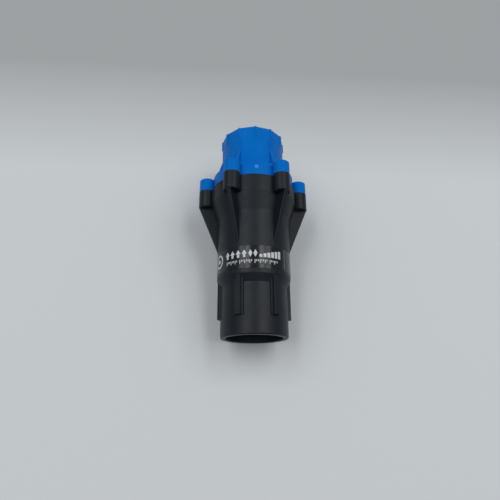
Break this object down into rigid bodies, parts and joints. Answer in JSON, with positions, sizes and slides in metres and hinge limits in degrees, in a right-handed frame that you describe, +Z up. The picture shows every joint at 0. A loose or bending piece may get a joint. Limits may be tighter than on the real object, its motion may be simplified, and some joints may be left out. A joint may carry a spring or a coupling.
{
  "type": "pressure regulator",
  "caption": "In-line irrigation pressure regulator: a black threaded inlet housing and a blue outlet housing, screwed together round a spring-loaded hollow plunger and diaphragm.",
  "frame": {"origin": "centre of the bounding box's bottom: the regulator lies on its side on z = 0, as it does on a bench", "axes": "+Y towards the blue outlet end, along the regulator's length; +Z up; the flow axis leans up from the inlet mouth by the angle at which the regulator rests on its rim and two flange bosses"},
  "size_m": [0.0698, 0.1362, 0.0636],
  "materials": {
    "black_nylon": "satin charcoal-black moulded plastic with a fine mould texture",
    "blue_nylon": "satin bright blue moulded plastic",
    "label_film": "glossy black printed film",
    "stainless": "plain stainless steel",
    "spring_steel": "drawn stainless spring wire",
    "grey_acetal": "grey moulded acetal",
    "white_acetal": "natural white acetal",
    "rubber": "black moulded rubber"
  },
  "bodies": {
    "housing": {"inlet_housing": "black_nylon", "outlet_housing": "blue_nylon", "label_band": "label_film", "flange_screws": "stainless", "seat_carrier": "grey_acetal", "seat_pad": "rubber", "seat_retainer": "stainless", "guide_bush": "white_acetal", "stem_oring": "rubber", "oring_retainer": "grey_acetal", "spring_seat": "stainless", "spring": "spring_steel"},
    "plunger": {"plunger_stem": "white_acetal", "diaphragm_plate": "grey_acetal", "diaphragm_clamp": "grey_acetal", "plunger_clip": "stainless", "diaphragm": "rubber"}
  },
  "joints": [
    {"name": "plunger_slide", "type": "slide", "parent": "housing", "child": "plunger", "axis": [0, -0.9913, -0.1314], "range_m": [0, 0.0034], "stiffness_N_per_m": 3000, "deforming": ["spring", "diaphragm"]}
  ]
}
